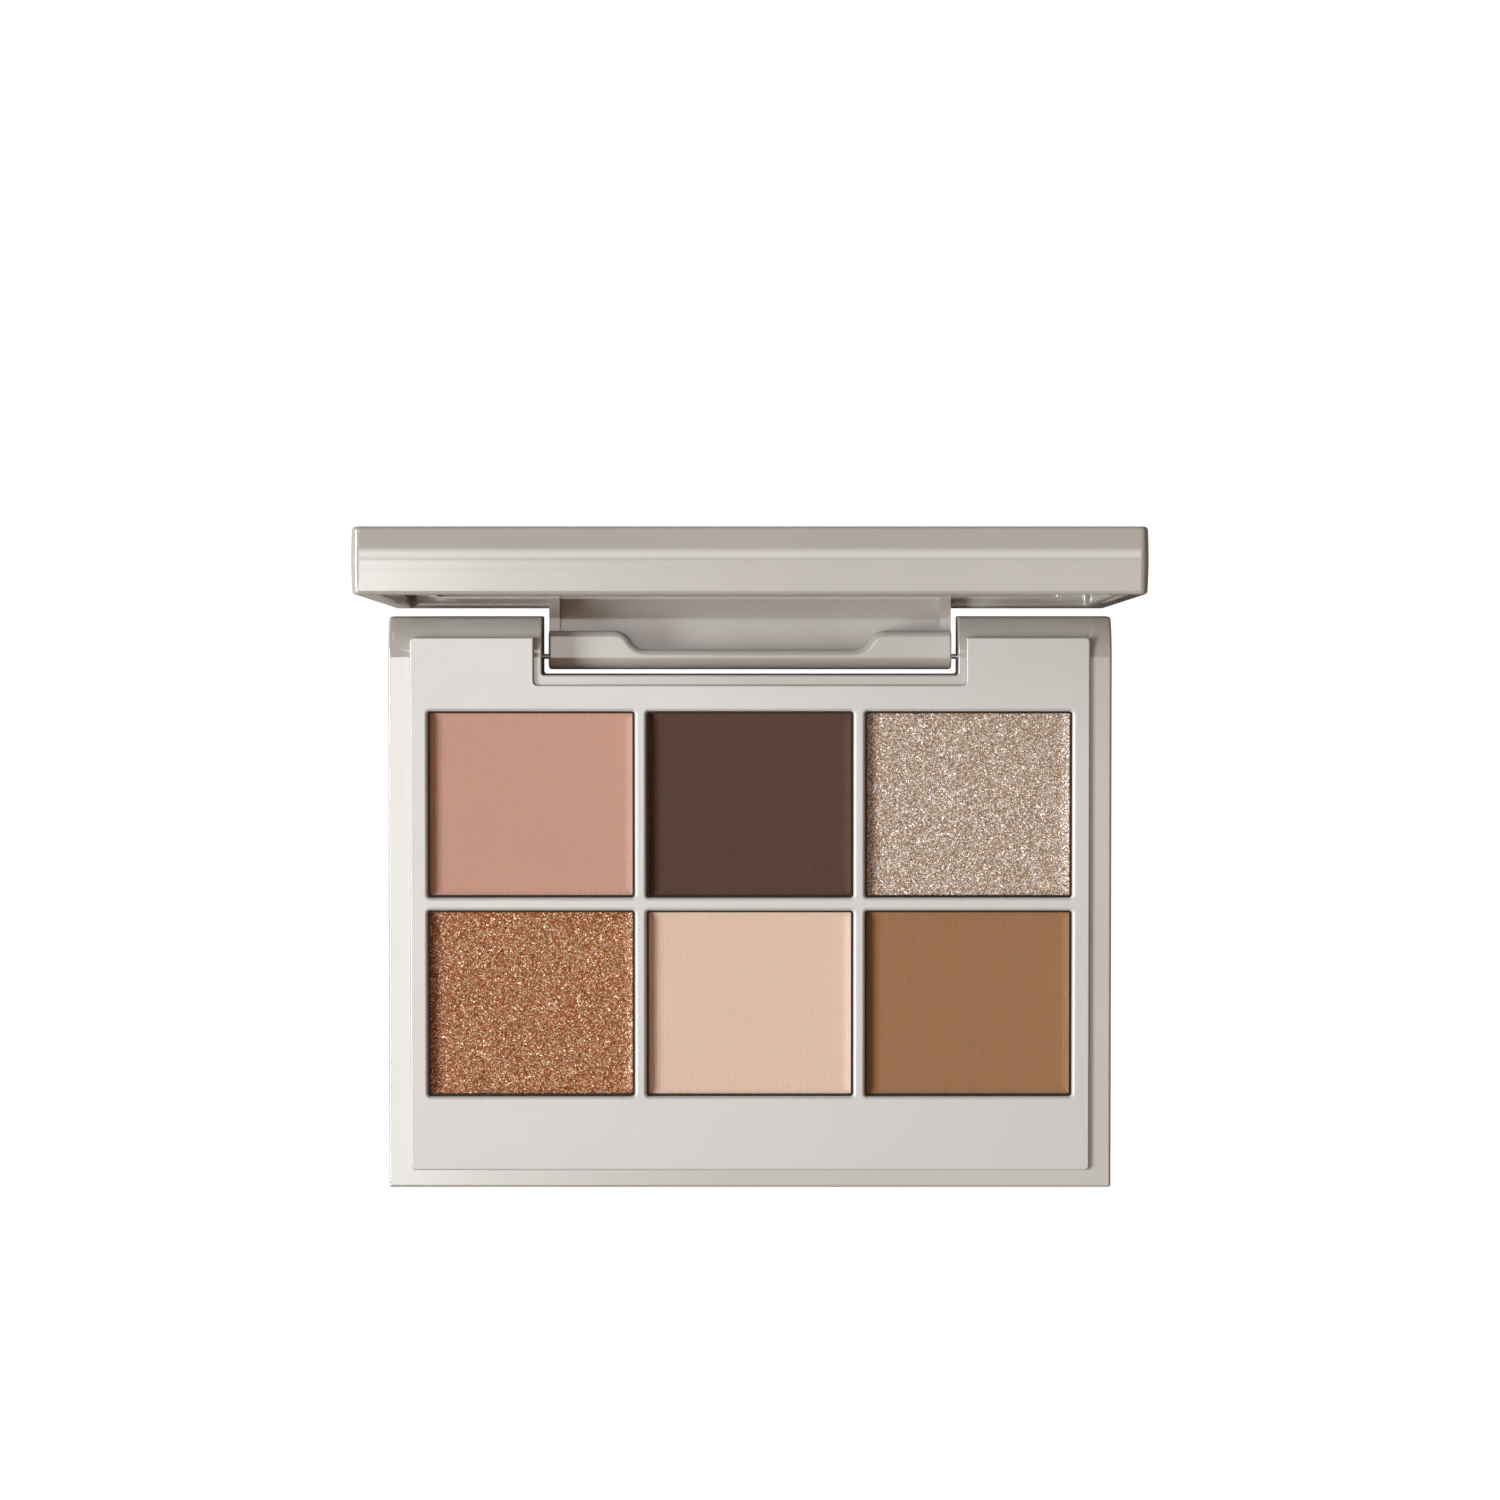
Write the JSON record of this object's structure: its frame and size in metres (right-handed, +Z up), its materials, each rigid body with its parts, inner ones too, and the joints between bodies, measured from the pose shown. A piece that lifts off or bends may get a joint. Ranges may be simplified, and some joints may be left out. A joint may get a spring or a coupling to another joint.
{
  "type": "eyeshadow palette",
  "caption": "Rectangular pressed-powder eyeshadow palette with a mirror lid that opens on a rear knuckle hinge.",
  "frame": {"origin": "centre of the base's flat underside", "axes": "+X to the user's right, +Y to the hinge at the back, +Z up out of the powders; the lid stands open at the back"},
  "size_m": [0.086, 0.0784, 0.0681],
  "materials": {
    "casing": "glossy, warm greige",
    "deck": "satin, pale warm grey",
    "frame": "glossy, warm greige",
    "tin_pan": "plain pressed metal",
    "adhesive": "dried glue",
    "magnet": "nickel plated",
    "pin_steel": "drawn wire",
    "mirror": "silvered glass",
    "powder_rose": "matte pressed powder",
    "powder_espresso": "matte pressed powder",
    "powder_champagne": "glitter pressed powder",
    "powder_copper": "glitter pressed powder",
    "powder_cream": "matte pressed powder",
    "powder_caramel": "matte pressed powder"
  },
  "bodies": {
    "base": {"base_tray": "casing", "pan_deck": "deck", "pan_rose": "tin_pan", "powder_rose": "powder_rose", "pan_adhesive_rose": "adhesive", "pan_espresso": "tin_pan", "powder_espresso": "powder_espresso", "pan_adhesive_espresso": "adhesive", "pan_champagne": "tin_pan", "powder_champagne": "powder_champagne", "pan_adhesive_champagne": "adhesive", "pan_copper": "tin_pan", "powder_copper": "powder_copper", "pan_adhesive_copper": "adhesive", "pan_cream": "tin_pan", "powder_cream": "powder_cream", "pan_adhesive_cream": "adhesive", "pan_caramel": "tin_pan", "powder_caramel": "powder_caramel", "pan_adhesive_caramel": "adhesive", "base_magnet_left": "magnet", "hinge_pin_left": "pin_steel", "base_magnet_right": "magnet", "hinge_pin_right": "pin_steel"},
    "lid": {"lid_shell": "casing", "mirror_frame": "frame", "mirror": "mirror", "mirror_adhesive": "adhesive", "lid_magnet_left": "magnet", "lid_magnet_right": "magnet"}
  },
  "joints": [
    {"name": "lid_hinge", "type": "hinge", "parent": "base", "child": "lid", "pos_m": [0, 0.0292, 0.0028], "axis": [-1, 0, 0], "range_deg": [-91.8, 8.2]}
  ]
}
